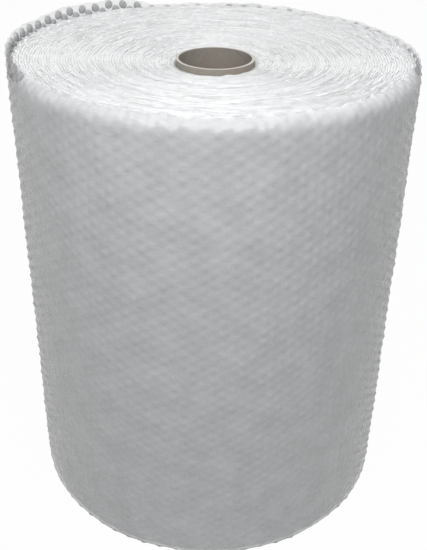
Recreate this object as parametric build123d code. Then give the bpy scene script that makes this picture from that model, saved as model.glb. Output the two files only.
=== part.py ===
from build123d import *

import math
import os

# Bubble wrap roll, in millimetres. It stands on one end, with +Z up along the roll's axis and the
# origin on that axis, in the plane that the roll stands on.
#
# Pieces: a spiral-wound card core tube, and the air-bubble film wound on it, all its turns as one
# solid.

# ---- driving dimensions -------------------------------------------------------------------------

# Width of the film, which is the height of the standing roll. The core tube is cut to it.
film_width = 500.0

# Core tube: the standard 76 mm core.
core_bore_diameter = 76.0
core_wall = 3.0

# Wound film. The roll's diameter is twice its largest radius, at the outer corner of the free end.
# The inner turns have sunk a little below the tube's end and the outer turns have crept above it,
# so the top end is a shallow dish.
roll_diameter = 420.0
turn_thickness = 2.7
inner_turns_below_tube = 5.0
end_dish = 13.0
top_shoulder_radius = 12.0
bottom_shoulder_radius = 6.0

# Where the film's free end lies, in degrees about the axis from +X towards +Y.
free_end_angle = 75.0

# Fit: the first turn lies on the tube with this gap all round.
winding_clearance = 0.3

# ---- sizes that follow --------------------------------------------------------------------------

core_inner_radius = core_bore_diameter / 2
core_outer_radius = core_inner_radius + core_wall
film_inner_radius = core_outer_radius + winding_clearance
roll_radius = roll_diameter / 2

# Where the top end's slope meets the bore, and where it meets the wall before the rim is rounded.
inner_turn_height = film_width - inner_turns_below_tube
rim_height = inner_turn_height + end_dish


def radial(angle):
    """The unit vector that points away from the axis at an angle in degrees."""
    return Vector(math.cos(math.radians(angle)), math.sin(math.radians(angle)))


def core_tube():
    """A plain tube with square-cut ends."""
    section = Circle(core_outer_radius) - Circle(core_inner_radius)
    return extrude(section, amount=film_width)


def last_turn_outline():
    """The outline of the winding: its last turn, which grows by one thickness in a full circle.

    It is four quarter arcs. Each is smaller than the one before by a quarter of the thickness, and
    its centre steps as far along the radius where the two meet, so neighbours are tangent. A
    radial line, one thickness long, closes the outline at the film's free end.
    """
    step = turn_thickness / 4
    centre = (radial(free_end_angle) - radial(free_end_angle + 90)) * (step / 2)
    radius = roll_radius
    outline = Curve()
    for quarter in range(4):
        start = free_end_angle + 90 * quarter
        outline += CenterArc(centre, radius, start, 90)
        centre = centre + radial(start + 90) * step
        radius = radius - step
    outline += Line(outline.edges()[-1] @ 1, outline.edges()[0] @ 0)
    return make_face(outline)


def end_profile():
    """Half the roll's section on XZ: bore, dished top end, and both shoulders rounded."""
    foot = (roll_radius, 0)
    rim = (roll_radius, rim_height)
    bore_top = (film_inner_radius, inner_turn_height)
    bore_foot = (film_inner_radius, 0)
    section = make_face(Polyline(bore_foot, foot, rim, bore_top, close=True))
    rim_corner = section.vertices().sort_by_distance(rim)[0]
    section = fillet(rim_corner, top_shoulder_radius)
    foot_corner = section.vertices().sort_by_distance(foot)[0]
    return fillet(foot_corner, bottom_shoulder_radius)


def bubble_wrap():
    """The wound film: the last turn's outline run up the roll, cut to the revolved section."""
    winding = extrude(last_turn_outline(), amount=rim_height)
    envelope = revolve(Plane.XZ * end_profile(), Axis.Z)
    return winding & envelope


def main():
    os.makedirs("parts", exist_ok=True)
    export_step(core_tube(), "parts/core_tube.step")
    export_step(bubble_wrap(), "parts/bubble_wrap.step")


main()
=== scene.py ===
import math

import bpy
import numpy as np
from bpy.props import FloatProperty, FloatVectorProperty, PointerProperty
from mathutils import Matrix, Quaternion, Vector


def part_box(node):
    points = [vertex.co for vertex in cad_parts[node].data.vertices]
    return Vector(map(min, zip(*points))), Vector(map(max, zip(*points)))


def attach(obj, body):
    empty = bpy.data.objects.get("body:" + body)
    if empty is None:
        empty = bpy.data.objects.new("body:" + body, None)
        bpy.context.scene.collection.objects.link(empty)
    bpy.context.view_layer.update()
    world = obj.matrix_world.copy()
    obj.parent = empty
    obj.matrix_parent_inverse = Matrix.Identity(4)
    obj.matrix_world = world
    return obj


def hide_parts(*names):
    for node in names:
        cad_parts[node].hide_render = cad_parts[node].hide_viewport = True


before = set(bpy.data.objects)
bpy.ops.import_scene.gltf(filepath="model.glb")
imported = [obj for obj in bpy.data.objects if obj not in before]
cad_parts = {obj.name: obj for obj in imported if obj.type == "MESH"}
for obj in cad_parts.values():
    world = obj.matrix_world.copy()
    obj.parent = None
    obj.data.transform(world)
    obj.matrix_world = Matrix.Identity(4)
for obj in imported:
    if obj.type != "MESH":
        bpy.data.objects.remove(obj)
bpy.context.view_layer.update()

bl_info = {
    "name": "Bubble wrap roll",
    "version": (1, 0, 0),
    "blender": (4, 5, 0),
    "location": "3D View > Sidebar > Wrap",
    "description": "Wound bubble film, its see-through lip and its card core, around the solid roll",
    "category": "Mesh",
}

# ---- the solid roll, in metres ------------------------------------------------------------------

FILM_LOW, FILM_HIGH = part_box("bubble_wrap")
TUBE_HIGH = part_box("core_tube")[1]
ROLL_RADIUS = max(abs(x) for corner in (FILM_LOW, FILM_HIGH) for x in corner.xy)
TUBE_RADIUS = TUBE_HIGH.x
FILM_WIDTH = TUBE_HIGH.z
CREST = FILM_HIGH.z

FULL_TURN = 2 * math.pi

# ---- fixed values of the film's shape, in metres, radians or shares unless they say degrees -------

TUCK = 1.3                # how far the last turn's lower edge is tucked under
LIP_RISES = (-32, 2)      # degrees about the axis from +X, over which the edge comes upright
LIP_FALLS = (222, 190)    # degrees over which it leans in again, given backwards
LIP_GROWS = (106, 128)    # degrees over which the low lip becomes the tall one
LOW_UPRIGHT = 0.88        # how upright the low lip is
LEAST_CURVATURE = 0.02    # share of the shoulder's curvature that an upright edge keeps
EDGE_WAVE = 0.0006        # waviness of the last turn's upper edge
NEXT_TURN_DROP = 0.0015   # how much sooner the turns beneath round off than the last turn
TALL_LIFT = 0.003         # how much the turns next to the tall lip stand up with it
OVERLAP = 0.20            # angle by which the last turn runs on beneath its own free end
SLACK = 0.0003            # long waves of the last turn over the turns beneath
END_LIFT = 0.0035         # how far the free end stands off
END_REACH = 0.018         # length of film over which it settles
ABOVE_FLOOR = 0.0003      # gap between the lowest film and the floor
UNDER_FILM = 0.00015      # depth of a bubble's mouth under the film's outer face
PRESSED = 0.92            # height of a pressed bubble, as a share of a turn
HELD = 0.85               # height of a rim bubble, as a share of a free one
RIM_ROWS = 2              # rows of bubbles made in finer detail at the upper edge
MOST_UNEVEN = 0.0025      # the most that one film edge stands off the end's form
RIPPLE = 0.00035          # ripple that the bubbles press into the film's edge


# ---- sizes and colours that a user would change -------------------------------------------------

def length(name, description, default):
    """A size in metres."""
    return FloatProperty(name=name, description=description, default=default, unit="LENGTH", precision=4)


def angle(name, description, default):
    """An angle, with its default in degrees."""
    return FloatProperty(name=name, description=description, default=math.radians(default), unit="ROTATION")


def colour(name, description, default):
    """A plain colour, in linear red, green and blue."""
    return FloatVectorProperty(name=name, description=description, default=default, subtype="COLOR",
                               min=0.0, max=1.0)


class RollSizes(bpy.types.PropertyGroup):
    turn_thickness: length("Turn", "How much the roll's radius grows in one turn of film", 0.0027)
    free_end: angle("Free end", "Where the film's free end lies, about the axis from +X", 75.0)
    column_spacing: length("Column spacing", "From one column of bubbles to the next, round the roll", 0.0097)
    row_spacing: length("Row spacing", "From one bubble to the next along a column", 0.0121)
    bubble_radius: length("Bubble radius", "Radius of a bubble where it meets the flat film", 0.0048)
    bubble_height: length("Bubble height", "Height of a bubble that nothing presses on", 0.0042)
    top_margin: length("Top margin", "From the film's upper edge to the first bubble centres", 0.00605)
    pillow: length("Pillow", "How far the flat film swells over a bubble's mouth", 0.0010)
    top_shoulder: length("Top shoulder", "Radius at which the last turn leans in over the rim", 0.012)
    bottom_shoulder: length("Bottom shoulder", "Radius at which the last turn is tucked under", 0.003)
    lean: length("Lean", "Width of film that leans in over the rim", 0.0205)
    tall_lip: length("Tall lip", "Width of film above the bend where the lip stands tallest", 0.0245)
    low_lip: length("Low lip", "Width of film above the bend where the lip is low", 0.0128)
    below_tube: length("Below tube", "How far the inner turns lie below the tube's end", 0.005)
    edge_depth: length("Edge depth", "How deep one can look between the film's edges", 0.0016)
    unevenness: length("Unevenness", "How far the film's edges stand off one another", 0.0003)


class RollColours(bpy.types.PropertyGroup):
    film: colour("Film", "Clear film seen edge on and against the light", (0.80, 0.81, 0.82))
    winding: colour("Winding", "The milky look of many turns of film", (0.88, 0.885, 0.89))
    # The cell's grey is painted shade and reflection: clear bubble film, darkened to stand for the dim room
    # that it mirrors.
    cell: colour("Cell", "A bubble that stands clear, seen against the light", (0.40, 0.41, 0.42))
    card: colour("Card", "Wound grey board of the core", (0.36, 0.33, 0.29))
    card_edge: colour("Card edge", "Cut end of the core, where the plies show", (0.62, 0.60, 0.56))
    floor: colour("Floor", "Plain floor under the roll", (0.58, 0.58, 0.58))


class StageSizes(bpy.types.PropertyGroup):
    camera_back: length("Camera back", "Distance of the camera from the roll's axis", 0.848)
    camera_height: length("Camera height", "Height of the camera above the floor", 0.7464)
    camera_down: angle("Camera down", "How far the camera looks down", 30.90)
    camera_yaw: angle("Camera yaw", "How far the camera is turned to the right", 0.14)
    camera_roll: angle("Camera roll", "How far the camera is tipped", 1.0)
    lens: FloatProperty(name="Lens", description="Focal length", default=54.2, unit="CAMERA")
    floor_radius: length("Floor radius", "Radius of the round floor", 8.0)
    ambient: FloatProperty(name="Ambient", description="Strength of the even light from all round",
                           default=0.32, min=0.0)
    overhead_power: FloatProperty(name="Overhead", description="Power of the lamp above and behind",
                                  default=3.0, min=0.0, unit="POWER")
    front_power: FloatProperty(name="Front", description="Power of the lamp above the front",
                               default=5.6, min=0.0, unit="POWER")


# ---- the film's shape ---------------------------------------------------------------------------

def spiral_radius(turned, sizes):
    """Radius of the film's outer face: it falls evenly from the free end, by a thickness a turn."""
    return ROLL_RADIUS - sizes.turn_thickness * turned / FULL_TURN


def spiral_angle(along, sizes):
    """Angle turned from the free end where the film's length from there is known.

    The length is R*a - t*a*a/(4*pi), so the angle is (R - sqrt(R*R - t*length/pi)) * 2*pi/t.
    """
    thickness = sizes.turn_thickness
    root = np.sqrt(ROLL_RADIUS ** 2 - thickness * along / math.pi)
    return (ROLL_RADIUS - root) * FULL_TURN / thickness


def waves(across, up, seed, longest, count=9):
    """A smooth random field of unit strength: sines of random direction, phase and wavelength.

    The wavelengths run from the longest down to a sixth of it.
    """
    draw = np.random.default_rng(seed)
    total = np.zeros(np.broadcast(across, up).shape)
    for _ in range(count):
        heading = draw.uniform(0, FULL_TURN)
        number = FULL_TURN / (longest * draw.uniform(1 / 6, 1))
        phase = draw.uniform(0, FULL_TURN)
        total = total + np.sin(number * (across * math.cos(heading) + up * math.sin(heading)) + phase)
    return total / math.sqrt(count / 2)


def ramp(angles, start, end):
    """A smooth step from 0 to 1 as an angle goes from start to end, in degrees, either way round."""
    share = np.clip((angles - start) / (end - start), 0, 1)
    return share * share * (3 - 2 * share)


def lip_shape(turned, sizes):
    """How upright the last turn's upper edge stands, from 0 to 1, and how much of it is tall lip.

    It stands up round the back, tallest at the left, and leans in over the rim at the front.
    """
    about = (np.degrees(turned + sizes.free_end) + 90) % 360 - 90
    standing = ramp(about, *LIP_RISES) * ramp(about, *LIP_FALLS)
    tall = ramp(about, *LIP_GROWS) * ramp(about, *LIP_FALLS)
    return standing * (LOW_UPRIGHT + (1 - LOW_UPRIGHT) * tall), tall


def lip_width(turned, sizes):
    """Width of film above the rim's bend: the lean where it leans in, and the lip where it stands."""
    standing, tall = lip_shape(turned, sizes)
    lip = sizes.low_lip + (sizes.tall_lip - sizes.low_lip) * tall
    width = sizes.lean + (lip - sizes.lean) * np.clip(standing * 1.1, 0, 1)
    return width + EDGE_WAVE * waves(turned * ROLL_RADIUS, 0.0, seed=11, longest=0.12)


def bend_start(sizes):
    """Film length from its lower edge to where the rim's bend starts."""
    return TUCK * sizes.bottom_shoulder + CREST - sizes.top_shoulder - sizes.bottom_shoulder


def last_turn(turned, up, depth, sizes):
    """Points on the last turn, or at a depth inside it, from the angle turned and the film's width.

    The film rises along the wall. Under the wall it is an arc of the bottom shoulder's radius,
    tucked in by TUCK. Above the wall it is an arc whose curvature falls to nearly none where the
    edge stands upright. Depth is measured along the film's normal, towards the axis.
    """
    low = sizes.bottom_shoulder
    tucked = np.clip(TUCK - up / low, 0, None)
    curvature = np.clip(1 - lip_shape(turned, sizes)[0], LEAST_CURVATURE, 1) / sizes.top_shoulder
    above = np.clip(up - bend_start(sizes), 0, None)
    leaned = above * curvature
    wall = np.clip(up - TUCK * low, 0, bend_start(sizes) - TUCK * low)
    inset = low * (1 - np.cos(tucked)) + (1 - np.cos(leaned)) / curvature
    height = low * (1 - np.sin(tucked)) + wall + np.sin(leaned) / curvature
    slope = leaned - tucked
    radius = spiral_radius(turned, sizes) - inset - depth * np.cos(slope)
    height = height - depth * np.sin(slope)
    about = turned + sizes.free_end
    return np.stack([radius * np.cos(about), radius * np.sin(about), height], axis=-1)


def from_bubble(along, down, sizes):
    """Distance from the nearest bubble centre, where down is measured from the film's upper edge.

    Centres lie in columns, a column spacing apart, and every other column is half a row lower.
    """
    nearest = np.full(np.broadcast(along, down).shape, np.inf)
    for step in (0, 1):
        column = np.floor(along / sizes.column_spacing) + step
        first = sizes.top_margin + (column % 2) * sizes.row_spacing / 2
        row = np.round((down - first) / sizes.row_spacing)
        aside = along - column * sizes.column_spacing
        away = down - first - row * sizes.row_spacing
        nearest = np.minimum(nearest, np.hypot(aside, away))
    return nearest


def swell(distance, sizes):
    """The flat film's swelling over a bubble: 1 at its centre and 0 at its edge, as a smooth step."""
    inside = np.clip(1 - distance / sizes.bubble_radius, 0, 1)
    return inside * inside * (3 - 2 * inside)


def end_height(radius, turned, sizes):
    """Height of the top end: a straight slope up from the tube, and the rim's rounding.

    Where the lip stands up, the turns next to it stand up with it and there is less rounding.
    """
    standing, tall = lip_shape(turned, sizes)
    low = FILM_WIDTH - sizes.below_tube
    bend = ROLL_RADIUS - sizes.top_shoulder
    slope = (CREST - low) / (bend - TUBE_RADIUS)
    over = np.clip(radius - bend + NEXT_TURN_DROP, 0, 0.95 * sizes.top_shoulder)
    drop = sizes.top_shoulder - np.sqrt(sizes.top_shoulder ** 2 - over ** 2)
    raised = TALL_LIFT * tall * np.clip(over / sizes.top_shoulder, 0, 1)
    rounding = drop * (1 - 0.75 * standing)
    return low + slope * (np.minimum(radius, bend) - TUBE_RADIUS) - rounding + raised


# ---- meshes -------------------------------------------------------------------------------------

def make_piece(name, points, faces, materials, uv=None):
    """A mesh object from arrays: points (n, 3), faces (m, 3 or 4) of point numbers, uv (n, 2)."""
    mesh = bpy.data.meshes.new(name)
    corners = faces.shape[1]
    mesh.vertices.add(len(points))
    mesh.vertices.foreach_set("co", points.astype(np.float32).ravel())
    mesh.loops.add(faces.size)
    mesh.loops.foreach_set("vertex_index", faces.astype(np.int32).ravel())
    mesh.polygons.add(len(faces))
    mesh.polygons.foreach_set("loop_start", np.arange(0, faces.size, corners, dtype=np.int32))
    mesh.update(calc_edges=True)
    mesh.shade_smooth()
    if uv is not None:
        layer = mesh.uv_layers.new(name="film")
        layer.data.foreach_set("uv", uv[faces.ravel()].astype(np.float32).ravel())
    for finish in materials:
        mesh.materials.append(finish)
    piece = bpy.data.objects.new(name, mesh)
    bpy.context.scene.collection.objects.link(piece)
    return piece


def grid_faces(across, up, closed=False):
    """Quads of a grid whose points run up first: across by up points, joined round if closed."""
    columns = np.arange(across if closed else across - 1)
    left, low = np.meshgrid(columns, np.arange(up - 1), indexing="ij")
    right = (left + 1) % across
    quads = [left * up + low, right * up + low, right * up + low + 1, left * up + low + 1]
    return np.stack(quads, axis=-1).reshape(-1, 4)


def dome_pattern(segments, rings, sweep=FULL_TURN):
    """One bubble: offsets on the film and depths, as shares of its radius and height, with faces.

    Rings run from the mouth to near the top, each a share of the radius and of the height, and a
    single point closes the top. A sweep under a full turn makes the upper part of a dome only.
    """
    closed = sweep == FULL_TURN
    around = segments if closed else segments + 1
    spin = np.arange(around) * sweep / segments + (FULL_TURN / 4 - sweep / 2)
    wide = np.array([ring[0] for ring in rings])
    deep = np.array([ring[1] for ring in rings])
    aside = np.append(np.outer(np.cos(spin), wide).ravel(), 0)
    above = np.append(np.outer(np.sin(spin), wide).ravel(), 0)
    inward = np.append(np.broadcast_to(deep, (around, len(rings))).ravel(), 1)
    quads = grid_faces(around, len(rings), closed)
    faces = np.concatenate([quads[:, [0, 2, 1]], quads[:, [0, 3, 2]]])
    start = np.arange(around if closed else around - 1)
    last = len(rings) - 1
    top = np.full(len(start), around * len(rings))
    cap = np.stack([start * len(rings) + last, top, (start + 1) % around * len(rings) + last], axis=-1)
    return aside, above, inward, np.concatenate([faces, cap])


def many_faces(faces, copies, points_each):
    """The same faces for each of many copies of a pattern."""
    return (faces[None] + np.arange(copies)[:, None, None] * points_each).reshape(-1, 3)


def take_place(piece):
    """Lets a piece of film stand for the solid winding."""
    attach(piece, "root")
    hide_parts("bubble_wrap")


# ---- materials ----------------------------------------------------------------------------------

class Shader:
    """A material being built: its nodes, its Principled shader and short ways to join them."""

    def __init__(self, name):
        self.material = bpy.data.materials.new(name)
        self.material.use_nodes = True
        self.nodes = self.material.node_tree.nodes
        self.links = self.material.node_tree.links
        self.surface = self.nodes["Principled BSDF"]

    def add(self, kind, inputs=None, **settings):
        """A node with its settings, and its inputs set to values or joined to sockets."""
        node = self.nodes.new(kind)
        for key, value in settings.items():
            setattr(node, key, value)
        for key, value in (inputs or {}).items():
            self.put(node.inputs[key], value)
        return node

    def put(self, socket, value):
        """Joins an input to a socket, or sets it to a value."""
        if isinstance(value, bpy.types.NodeSocket):
            self.links.new(value, socket)
        else:
            socket.default_value = value

    def set(self, **values):
        """Sets the Principled shader's sockets, with underscores for spaces."""
        for key, value in values.items():
            self.put(self.surface.inputs[key.replace("_", " ")], value)

    def place(self, source="Object", scale=(1, 1, 1)):
        """Coordinates on the piece, or on its own UV map, scaled."""
        if source == "UV":
            start = self.add("ShaderNodeUVMap", uv_map="film").outputs["UV"]
        else:
            start = self.add("ShaderNodeTexCoord").outputs[source]
        return self.add("ShaderNodeMapping", {"Vector": start, "Scale": scale}).outputs["Vector"]

    def noise(self, where, scale, detail=3.0, roughness=0.5, distortion=0.0):
        """Cloudy noise from 0 to 1, with so many clouds to the metre."""
        inputs = {"Vector": where, "Scale": scale, "Detail": detail, "Roughness": roughness,
                  "Distortion": distortion}
        return self.add("ShaderNodeTexNoise", inputs).outputs["Fac"]

    def math(self, operation, *values):
        """One step of arithmetic on sockets or values."""
        node = self.add("ShaderNodeMath", operation=operation)
        for socket, value in zip(node.inputs, values):
            self.put(socket, value)
        return node.outputs[0]

    def between(self, value, low, high, to_low=0.0, to_high=1.0):
        """A value carried smoothly from one range to another, and held at its ends."""
        inputs = {"Value": value, "From Min": low, "From Max": high, "To Min": to_low, "To Max": to_high}
        return self.add("ShaderNodeMapRange", inputs, interpolation_type="SMOOTHSTEP").outputs[0]

    def blend(self, share, first, second):
        """A colour between two, by a share."""
        node = self.add("ShaderNodeMix", data_type="RGBA")
        for key, value in zip(("Factor", "A", "B"), (share, first, second)):
            socket = next(s for s in node.inputs if s.name == key and s.enabled)
            self.put(socket, value)
        return next(s for s in node.outputs if s.enabled)

    def bump(self, height, distance, strength, under=None):
        """A normal from a height of a distance in metres, over another normal if one is given."""
        inputs = {"Height": height, "Distance": distance, "Strength": strength}
        if under is not None:
            inputs["Normal"] = under
        return self.add("ShaderNodeBump", inputs).outputs["Normal"]


def opaque(rgb):
    """A colour with full alpha, for a colour socket."""
    return (*rgb, 1.0)


def tinted(rgb, factor):
    """A colour made lighter or darker."""
    return tuple(min(1.0, channel * factor) for channel in rgb) + (1.0,)


def clear_film(colours, name, alpha):
    """Clear film: soft gloss, a faint milkiness, and creases that run round the roll."""
    shader = Shader(name)
    flat = shader.place("UV")
    drawn_out = shader.place("UV", (1.0, 4.0, 1.0))
    milky = shader.noise(flat, 35.0, 4.0, 0.6)
    shader.set(Base_Color=shader.blend(shader.between(milky, 0.3, 0.7), tinted(colours.film, 0.94),
                                       tinted(colours.film, 1.06)))
    shader.set(Roughness=shader.between(shader.noise(flat, 120.0, 2.0), 0.3, 0.7, 0.20, 0.36))
    shader.set(IOR=1.5, Alpha=alpha)
    folds = shader.noise(drawn_out, 60.0, 2.0, 0.5, 0.6)
    crease = shader.math("ABSOLUTE", shader.math("SUBTRACT", folds, 0.5))
    ridge = shader.between(crease, 0.0, 0.06, 1.0, 0.0)
    puckered = shader.bump(ridge, 0.00012, 0.5)
    grain = shader.noise(flat, 700.0, 2.0)
    shader.set(Normal=shader.bump(grain, 0.0002, 0.25, puckered))
    return shader.material


def bubble_film(film, name, alpha):
    """Film drawn into bubbles: clearer and glossier than the flat film, with a fine haze."""
    shader = Shader(name)
    where = shader.place()
    haze = shader.noise(where, 260.0, 3.0, 0.6)
    hazy = shader.between(haze, 0.3, 0.7)
    # Given the cell colour, this base colour is painted shade and reflection, not a colour of the film.
    shader.set(Base_Color=shader.blend(hazy, tinted(film, 0.9), tinted(film, 1.08)))
    shader.set(Roughness=shader.between(haze, 0.3, 0.7, 0.14, 0.30), IOR=1.5, Alpha=alpha)
    shader.set(Normal=shader.bump(haze, 0.0004, 0.3))
    return shader.material


def milky_winding(colours):
    """Many turns of film seen through one another: white, with the faint cells of deeper bubbles."""
    shader = Shader("milky_winding")
    where = shader.place()
    cells = shader.add("ShaderNodeTexVoronoi", {"Vector": where, "Scale": 95.0}, feature="SMOOTH_F1")
    cell = shader.between(cells.outputs["Distance"], 0.1, 0.75)
    cloud = shader.noise(where, 22.0, 4.0, 0.6)
    mixed = shader.math("MULTIPLY_ADD", cloud, 0.5, shader.math("MULTIPLY", cell, 0.5))
    shader.set(Base_Color=shader.blend(mixed, tinted(colours.winding, 1.04),
                                       tinted(colours.winding, 0.93)))
    shader.set(Roughness=shader.between(cloud, 0.3, 0.7, 0.4, 0.6))
    shader.set(Normal=shader.bump(cell, 0.001, 0.35))
    return shader.material


def film_edge(colours):
    """Film seen edge on at the roll's ends: bright and softly glossy, with uneven haze."""
    shader = Shader("film_edge")
    where = shader.place()
    haze = shader.noise(where, 140.0, 4.0, 0.65)
    shader.set(Base_Color=shader.blend(shader.between(haze, 0.3, 0.7), tinted(colours.winding, 0.96),
                                       tinted(colours.winding, 1.06)))
    shader.set(Roughness=shader.between(haze, 0.3, 0.7, 0.25, 0.45), IOR=1.5)
    shader.set(Normal=shader.bump(haze, 0.0006, 0.35))
    return shader.material


def core_card(colours):
    """Spiral-wound grey board: a seam that climbs round the tube, fibres, and plies at the cut end."""
    seam_rise = 0.12     # height that the seam climbs in a turn
    seam_width = 0.006   # as a share of that
    ply = 0.0006         # thickness of one ply of board
    shader = Shader("core_card")
    split = shader.add("ShaderNodeSeparateXYZ", {"Vector": shader.place()})
    x, y, z = (split.outputs[i] for i in range(3))
    about = shader.math("DIVIDE", shader.math("ARCTAN2", y, x), FULL_TURN)
    climbed = shader.math("FRACT", shader.math("SUBTRACT", shader.math("DIVIDE", z, seam_rise), about))
    seam = shader.math("LESS_THAN", climbed, seam_width)
    fibres = shader.noise(shader.place("Object", (1.0, 1.0, 3.0)), 420.0, 5.0, 0.7)
    blotch = shader.noise(shader.place(), 24.0, 3.0, 0.6)
    card = shader.blend(shader.between(fibres, 0.3, 0.7), tinted(colours.card, 0.82),
                        tinted(colours.card, 1.16))
    stained = tuple(c * k for c, k in zip(colours.card, (1.02, 0.86, 0.80))) + (1.0,)
    card = shader.blend(shader.between(blotch, 0.52, 0.72, 0.0, 0.6), card, stained)
    card = shader.blend(shader.math("MULTIPLY", seam, 0.55), card, tinted(colours.card, 0.45))
    squares = shader.math("ADD", shader.math("MULTIPLY", x, x), shader.math("MULTIPLY", y, y))
    plies = shader.math("FRACT", shader.math("DIVIDE", shader.math("SQRT", squares), ply))
    edge = shader.blend(shader.between(plies, 0.0, 0.35), tinted(colours.card_edge, 0.72),
                        opaque(colours.card_edge))
    normal = shader.add("ShaderNodeNewGeometry").outputs["Normal"]
    facing = shader.add("ShaderNodeSeparateXYZ", {"Vector": normal})
    at_end = shader.between(shader.math("ABSOLUTE", facing.outputs[2]), 0.5, 0.9)
    shader.set(Base_Color=shader.blend(at_end, card, edge))
    shader.set(Roughness=shader.between(fibres, 0.3, 0.7, 0.75, 0.95))
    shader.set(Normal=shader.bump(shader.math("SUBTRACT", fibres, seam), 0.0004, 0.5))
    return shader.material


def plain_floor(colours):
    """A pale floor that looks white to the camera and in reflections, and keeps a soft shadow."""
    shown_white = 0.97
    shader = Shader("plain_floor")
    grain = shader.noise(shader.place(), 3.0, 2.0)
    path = shader.add("ShaderNodeLightPath")
    seen = shader.math("MAXIMUM", path.outputs["Is Camera Ray"], path.outputs["Is Glossy Ray"])
    seen = shader.math("MAXIMUM", seen, path.outputs["Is Transmission Ray"])
    plain = shader.blend(grain, tinted(colours.floor, 0.99), tinted(colours.floor, 1.01))
    shader.set(Base_Color=shader.blend(seen, plain, (1.0, 1.0, 1.0, 1.0)), Roughness=0.9)
    white = shader.add("ShaderNodeEmission", {"Color": (1, 1, 1, 1), "Strength": 1.0})
    mix = shader.add("ShaderNodeMixShader", {0: shader.math("MULTIPLY", seen, shown_white),
                                             1: shader.surface.outputs[0], 2: white.outputs[0]})
    shader.links.new(mix.outputs[0], shader.nodes["Material Output"].inputs["Surface"])
    return shader.material


def material(name, make, *values):
    """The named material, made the first time that it is asked for."""
    return bpy.data.materials.get(name) or make(*values)


# ---- pieces -------------------------------------------------------------------------------------

def film_top(turned, sizes):
    """Width of the last turn from its lower edge to its upper one."""
    return bend_start(sizes) + lip_width(turned, sizes)


class WRAP_OT_outer_film(bpy.types.Operator):
    """The last turn's flat film, smooth side out, swollen a little over each bubble

    Its grid has four steps to a column and to a row of bubbles, so that every bubble's centre is a
    grid point. Each point is pushed out of the last turn's surface by the swelling, by long waves,
    and at the free end by a lift that dies away as an exponential.
    """

    bl_idname = "wrap.outer_film"
    bl_label = "Outer film"

    def execute(self, context):
        sizes = context.scene.roll_sizes
        colours = context.scene.roll_colours
        columns = round((FULL_TURN + OVERLAP) * ROLL_RADIUS / sizes.column_spacing)
        turned = np.arange(4 * columns + 1) * sizes.column_spacing / 4 / ROLL_RADIUS
        step = sizes.row_spacing / 4
        down = np.arange(math.ceil(film_top(turned, sizes).max() / step) + 1) * step
        turned, down = np.meshgrid(turned, down, indexing="ij")
        along = turned * ROLL_RADIUS
        whole = film_top(turned, sizes)
        below = np.minimum(down, whole)
        up = whole - below
        bent = np.clip((up - bend_start(sizes)) / sizes.top_shoulder, 0, 1)
        loose = (1 + 0.5 * bent) * (1 + 0.25 * waves(along, below, seed=3, longest=0.06))
        raised = sizes.pillow * loose * swell(from_bubble(along, below, sizes), sizes)
        raised = raised + SLACK * np.clip(waves(along, below, seed=5, longest=0.22) + 1.5, 0, None)
        settled = np.exp(-along / END_REACH)
        lifted = END_LIFT * settled * (1 + 0.5 * waves(0.0, below, seed=6, longest=0.4))
        points = last_turn(turned, up, -raised - lifted, sizes)
        points[..., 2] = np.maximum(points[..., 2], ABOVE_FLOOR)
        uv = np.stack([along, up], axis=-1)
        faces = grid_faces(*turned.shape)[:, ::-1]
        on_wall = material("wall_film", clear_film, colours, "wall_film", 0.80)
        on_rim = material("rim_film", clear_film, colours, "rim_film", 0.40)
        piece = make_piece("outer_film", points.reshape(-1, 3), faces, [on_wall, on_rim],
                           uv.reshape(-1, 2))
        standing = (lip_shape(turned, sizes)[0] * bent)[:-1, :-1].ravel() > 0.3
        piece.data.polygons.foreach_set("material_index", standing.astype(np.int32))
        take_place(piece)
        return {"FINISHED"}


def bubble_centres(sizes, first_row, rows, along_from, along_to):
    """Places along the film and below its upper edge of the bubbles in some rows of a stretch."""
    spacing = sizes.column_spacing
    columns = np.arange(math.ceil(along_from / spacing), int(along_to / spacing) + 1)
    column, row = np.meshgrid(columns, np.arange(first_row, first_row + rows), indexing="ij")
    below = sizes.top_margin + (row + (column % 2) / 2) * sizes.row_spacing
    return (column * spacing).ravel(), below.ravel()


def last_turn_bubbles(name, sizes, colours, first_row, rows, pattern, height, seed):
    """Bubbles on the inner face of the last turn, each a pattern of rings laid on the film.

    A point of a bubble is its centre plus the ring's offset, carried onto the film's curve, and
    sunk by the ring's depth. Each bubble's height differs a little. Those on the standing lip are
    see-through cells, grey with painted shade and reflection, and the others are milky against the
    turns beneath.
    """
    aside, above, inward, faces = pattern
    past_the_end = FULL_TURN * ROLL_RADIUS * 1.03
    along, below = bubble_centres(sizes, first_row, rows, sizes.column_spacing, past_the_end)
    draw = np.random.default_rng(seed)
    full = height * draw.uniform(0.82, 1.0, len(along))
    radius = sizes.bubble_radius
    turned = (along[:, None] + aside * radius) / ROLL_RADIUS
    up = film_top(turned, sizes) - below[:, None] + above * radius
    depth = UNDER_FILM + inward * full[:, None]
    points = last_turn(turned, np.clip(up, 0, None), depth, sizes)
    milky = material("bubble_film", bubble_film, colours.film, "bubble_film", 0.55)
    # The lip's cells take the grey cell colour: painted shade and reflection on film that is clear.
    clear = material("bubble_cell", bubble_film, colours.cell, "bubble_cell", 0.80)
    all_faces = many_faces(faces, len(along), len(aside))
    piece = make_piece(name, points.reshape(-1, 3), all_faces, [milky, clear])
    high = film_top(along / ROLL_RADIUS, sizes) - below - bend_start(sizes)
    stands = (lip_shape(along / ROLL_RADIUS, sizes)[0] > 0.4) & (high > -0.003)
    piece.data.polygons.foreach_set("material_index", np.repeat(stands, len(faces)).astype(np.int32))
    take_place(piece)


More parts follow.
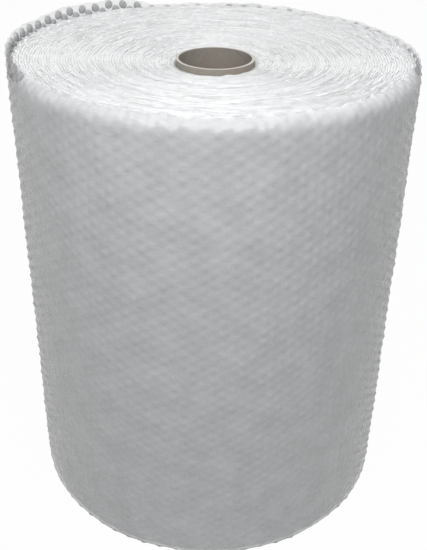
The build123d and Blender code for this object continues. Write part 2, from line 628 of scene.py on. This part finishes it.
class WRAP_OT_wall_bubbles(bpy.types.Operator):
    """The bubbles under the last turn's film, pressed flat against the turn beneath"""

    bl_idname = "wrap.wall_bubbles"
    bl_label = "Wall bubbles"

    def execute(self, context):
        sizes = context.scene.roll_sizes
        rows = int((film_top(0.0, sizes) - sizes.top_margin) / sizes.row_spacing) - RIM_ROWS
        pattern = dome_pattern(8, [(1.0, 0.0), (0.84, 0.78)])
        last_turn_bubbles("wall_bubbles", sizes, context.scene.roll_colours, RIM_ROWS, rows, pattern,
                          sizes.turn_thickness * PRESSED, seed=21)
        return {"FINISHED"}


class WRAP_OT_rim_bubbles(bpy.types.Operator):
    """The upper rows of bubbles on the last turn, which show through its lip at full height"""

    bl_idname = "wrap.rim_bubbles"
    bl_label = "Rim bubbles"

    def execute(self, context):
        sizes = context.scene.roll_sizes
        rings = [(1.0, 0.0), (0.98, 0.35), (0.90, 0.68), (0.62, 0.93)]
        last_turn_bubbles("rim_bubbles", sizes, context.scene.roll_colours, 0, RIM_ROWS,
                          dome_pattern(12, rings), sizes.bubble_height * HELD, seed=22)
        return {"FINISHED"}


def edge_height(turned, top, sizes):
    """Height of the film's edge all along the winding: the end's form, with each turn uneven."""
    radius = spiral_radius(turned, sizes)
    along = turned * radius
    long_waves = waves(along, 0.0, seed=31 + top, longest=0.5)
    uneven = sizes.unevenness * (long_waves + waves(along, turned, seed=33 + top, longest=0.05))
    if top:
        return end_height(radius, turned, sizes) + np.clip(uneven, -MOST_UNEVEN, MOST_UNEVEN)
    return ABOVE_FLOOR + np.clip(np.abs(uneven), 0, MOST_UNEVEN)


def winding_end(sizes):
    """Length of film from the free end to where the winding meets the tube."""
    turns = (ROLL_RADIUS - TUBE_RADIUS) / sizes.turn_thickness - 0.6
    mean = (ROLL_RADIUS + TUBE_RADIUS) / 2
    return turns * FULL_TURN * mean


def make_edge_film(name, top, sizes, colours):
    """The film's edge at one end, as one spiral ribbon from under the last turn to the tube.

    Its radius is the spiral's, with the ripple that the bubbles press into it. It starts at the
    uneven edge and runs inwards to the depth that can be seen.
    """
    steps = np.arange(FULL_TURN * ROLL_RADIUS, winding_end(sizes), sizes.column_spacing / 2)
    turned = spiral_angle(steps, sizes)
    edge = edge_height(turned, top, sizes)
    inwards = -1 if top else 1
    share = np.array([0.0, 0.35, 1.0])
    turned, share = np.meshgrid(turned, share, indexing="ij")
    height = edge[:, None] + inwards * share * 1.4 * sizes.edge_depth
    along = turned * spiral_radius(turned, sizes)
    ripple = RIPPLE * waves(along, share * 0.01, seed=41, longest=0.03)
    radius = spiral_radius(turned, sizes) - 0.0002 + ripple
    about = turned + sizes.free_end
    points = np.stack([radius * np.cos(about), radius * np.sin(about), height], axis=-1)
    if top:
        points = points[:, ::-1]
    film = material("film_edge", film_edge, colours)
    piece = make_piece(name, points.reshape(-1, 3), grid_faces(*turned.shape), [film])
    take_place(piece)


def make_edge_bubbles(name, top, sizes, colours, seed):
    """The bubbles next to the film's edge at one end: of each, the part that can be seen.

    Each is the outer part of a dome on the film's inner face, at its own place along the spiral.
    """
    aside, above, inward, faces = dome_pattern(6, [(1.0, 0.0), (0.86, 0.72)], FULL_TURN * 0.52)
    spacing = 2 * sizes.column_spacing
    centre = np.arange(FULL_TURN * ROLL_RADIUS + spacing, winding_end(sizes) - spacing, spacing)
    draw = np.random.default_rng(seed)
    centre = centre + draw.uniform(-0.0006, 0.0006, len(centre))
    full = sizes.turn_thickness * draw.uniform(0.70, 0.98, len(centre))
    inwards = -1 if top else 1
    edge = edge_height(spiral_angle(centre, sizes), top, sizes)
    middle = edge + inwards * (sizes.bubble_radius + 0.0004)
    turned = spiral_angle(centre[:, None] + aside * sizes.bubble_radius, sizes)
    radius = spiral_radius(turned, sizes) - 0.0003 - inward * full[:, None]
    height = middle[:, None] - inwards * above * sizes.bubble_radius
    about = turned + sizes.free_end
    points = np.stack([radius * np.cos(about), radius * np.sin(about), height], axis=-1)
    if not top:
        faces = faces[:, ::-1]
    film = material("film_edge", film_edge, colours)
    all_faces = many_faces(faces, len(centre), len(aside))
    piece = make_piece(name, points.reshape(-1, 3), all_faces, [film])
    take_place(piece)


class WRAP_OT_end_film(bpy.types.Operator):
    """The spiral of film edges on both ends of the roll"""

    bl_idname = "wrap.end_film"
    bl_label = "End film"

    def execute(self, context):
        scene = context.scene
        make_edge_film("top_edge_film", True, scene.roll_sizes, scene.roll_colours)
        make_edge_film("bottom_edge_film", False, scene.roll_sizes, scene.roll_colours)
        return {"FINISHED"}


class WRAP_OT_end_bubbles(bpy.types.Operator):
    """The bubbles that show between the film's edges on both ends"""

    bl_idname = "wrap.end_bubbles"
    bl_label = "End bubbles"

    def execute(self, context):
        scene = context.scene
        make_edge_bubbles("top_edge_bubbles", True, scene.roll_sizes, scene.roll_colours, 51)
        make_edge_bubbles("bottom_edge_bubbles", False, scene.roll_sizes, scene.roll_colours, 52)
        return {"FINISHED"}


class WRAP_OT_inner_turns(bpy.types.Operator):
    """The body of all the turns under the last one, as one closed milky form

    A section runs out along the bottom end, up the wall, in along the top end and down the bore,
    and is carried round the spiral.
    """

    bl_idname = "wrap.inner_turns"
    bl_label = "Inner turns"

    def execute(self, context):
        sizes = context.scene.roll_sizes
        deep = sizes.edge_depth
        bore = TUBE_RADIUS + 0.0004
        around = 288
        below, beside, above = 12, 40, 24    # points along the bottom, the wall and the top
        turned = np.arange(around) / around * FULL_TURN
        wall = spiral_radius(turned, sizes) - sizes.turn_thickness - 0.0002
        out = np.concatenate([np.linspace(0, 1, below), np.ones(beside), np.linspace(1, 0, above)])
        radius = bore + (wall[:, None] - bore) * out
        top = end_height(radius + sizes.turn_thickness, turned[:, None], sizes) - deep
        side = np.linspace(0, 1, beside + 2)[1:-1] * (CREST - sizes.top_shoulder - deep)
        height = np.concatenate([np.full((around, below), deep),
                                 np.broadcast_to(deep + side * 0.985, (around, beside)),
                                 top[:, -above:]], axis=1)
        about = (turned + sizes.free_end)[:, None]
        points = np.stack([radius * np.cos(about), radius * np.sin(about), height], axis=-1)
        faces = grid_faces(around, points.shape[1], closed=True)
        last = points.shape[1] - 1
        start = np.arange(around) * (last + 1)
        onward = np.roll(start, -1)
        bore_wall = np.stack([start + last, onward + last, onward, start], axis=-1)
        body = material("milky_winding", milky_winding, context.scene.roll_colours)
        all_faces = np.concatenate([faces, bore_wall])
        piece = make_piece("inner_turns", points.reshape(-1, 3), all_faces, [body])
        take_place(piece)
        return {"FINISHED"}


class WRAP_OT_core(bpy.types.Operator):
    """The card finish of the core tube"""

    bl_idname = "wrap.core"
    bl_label = "Card core"

    def execute(self, context):
        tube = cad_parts["core_tube"]
        tube.data.materials.clear()
        tube.data.materials.append(material("core_card", core_card, context.scene.roll_colours))
        return {"FINISHED"}


def add_lamp(name, place, target, size, power):
    """A square soft lamp that points at a target."""
    data = bpy.data.lights.new(name, "AREA")
    data.size = size
    data.energy = power
    lamp = bpy.data.objects.new(name, data)
    lamp.location = place
    lamp.rotation_euler = (Vector(target) - Vector(place)).to_track_quat("-Z", "Y").to_euler()
    lamp.visible_camera = False
    bpy.context.scene.collection.objects.link(lamp)


def add_floor(stage, colours):
    """A flat disc: rings of points at even angles, their radius growing as a square."""
    rings = 12
    around = 96
    radius = stage.floor_radius * (np.arange(1, rings + 1) / rings) ** 2
    spin = np.arange(around) / around * FULL_TURN
    flat = np.stack([np.outer(np.cos(spin), radius), np.outer(np.sin(spin), radius),
                     np.zeros((around, rings))], axis=-1).reshape(-1, 3)
    quads = grid_faces(around, rings, closed=True)[:, ::-1]
    start = np.arange(around) * rings
    faces = np.concatenate([quads[:, [0, 1, 2]], quads[:, [0, 2, 3]],
                            np.stack([start, np.roll(start, -1), np.full(around, len(flat))], axis=-1)])
    floor = make_piece("floor", np.append(flat, [[0, 0, 0]], axis=0), faces, [plain_floor(colours)])


def add_world(ambient):
    """Even light from all round, which looks white to the camera and through clear things."""
    world = bpy.data.worlds.new("studio")
    world.use_nodes = True
    nodes = world.node_tree.nodes
    links = world.node_tree.links
    path = nodes.new("ShaderNodeLightPath")
    seen = nodes.new("ShaderNodeMath")
    seen.operation = "MAXIMUM"
    links.new(path.outputs["Is Camera Ray"], seen.inputs[0])
    links.new(path.outputs["Is Transmission Ray"], seen.inputs[1])
    strength = nodes.new("ShaderNodeMapRange")
    strength.inputs["To Min"].default_value = ambient
    strength.inputs["To Max"].default_value = 1.0
    links.new(seen.outputs[0], strength.inputs["Value"])
    links.new(strength.outputs[0], nodes["Background"].inputs["Strength"])
    nodes["Background"].inputs["Color"].default_value = (1, 1, 1, 1)
    bpy.context.scene.world = world


class WRAP_OT_stage(bpy.types.Operator):
    """The floor, the soft studio light and the camera"""

    bl_idname = "wrap.stage"
    bl_label = "Stage"

    def execute(self, context):
        scene = context.scene
        stage = scene.stage_sizes
        add_floor(stage, scene.roll_colours)
        add_world(stage.ambient)
        add_lamp("overhead", (0.25, 0.45, 1.35), (0, 0, CREST), 0.8, stage.overhead_power)
        add_lamp("front", (-0.05, -0.55, 1.12), (0, -0.15, CREST), 0.7, stage.front_power)
        data = bpy.data.cameras.new("camera")
        data.lens = stage.lens
        camera = bpy.data.objects.new("camera", data)
        camera.location = (0, -stage.camera_back, stage.camera_height)
        ahead = Vector((math.sin(stage.camera_yaw) * math.cos(stage.camera_down),
                        math.cos(stage.camera_yaw) * math.cos(stage.camera_down),
                        -math.sin(stage.camera_down)))
        camera.rotation_mode = "QUATERNION"
        tip = Quaternion((0, 0, 1), stage.camera_roll)
        camera.rotation_quaternion = ahead.to_track_quat("-Z", "Y") @ tip
        scene.collection.objects.link(camera)
        scene.camera = camera
        scene.view_settings.view_transform = "Standard"
        return {"FINISHED"}


class WRAP_PT_panel(bpy.types.Panel):
    """The sizes, the colours and one button for each piece"""

    bl_idname = "WRAP_PT_panel"
    bl_label = "Bubble wrap roll"
    bl_space_type = "VIEW_3D"
    bl_region_type = "UI"
    bl_category = "Wrap"

    def draw(self, context):
        for group in (context.scene.roll_sizes, context.scene.roll_colours, context.scene.stage_sizes):
            box = self.layout.box()
            for name in type(group).__annotations__:
                box.prop(group, name)
        for operator in OPERATORS:
            self.layout.operator(operator.bl_idname)


OPERATORS = (
    WRAP_OT_stage,
    WRAP_OT_outer_film,
    WRAP_OT_wall_bubbles,
    WRAP_OT_rim_bubbles,
    WRAP_OT_end_film,
    WRAP_OT_end_bubbles,
    WRAP_OT_inner_turns,
    WRAP_OT_core,
)
GROUPS = {"roll_sizes": RollSizes, "roll_colours": RollColours, "stage_sizes": StageSizes}


def register():
    """Makes the operators, the panel and the scene's settings known to Blender."""
    for cls in (*GROUPS.values(), *OPERATORS, WRAP_PT_panel):
        bpy.utils.register_class(cls)
    for name, group in GROUPS.items():
        setattr(bpy.types.Scene, name, PointerProperty(type=group))


def unregister():
    """Takes them away again."""
    for name in GROUPS:
        delattr(bpy.types.Scene, name)
    for cls in reversed((*GROUPS.values(), *OPERATORS, WRAP_PT_panel)):
        bpy.utils.unregister_class(cls)


def main():
    """Builds every piece."""
    register()
    for operator in OPERATORS:
        group, name = operator.bl_idname.split(".")
        getattr(getattr(bpy.ops, group), name)()


if __name__ == "__main__":
    main()
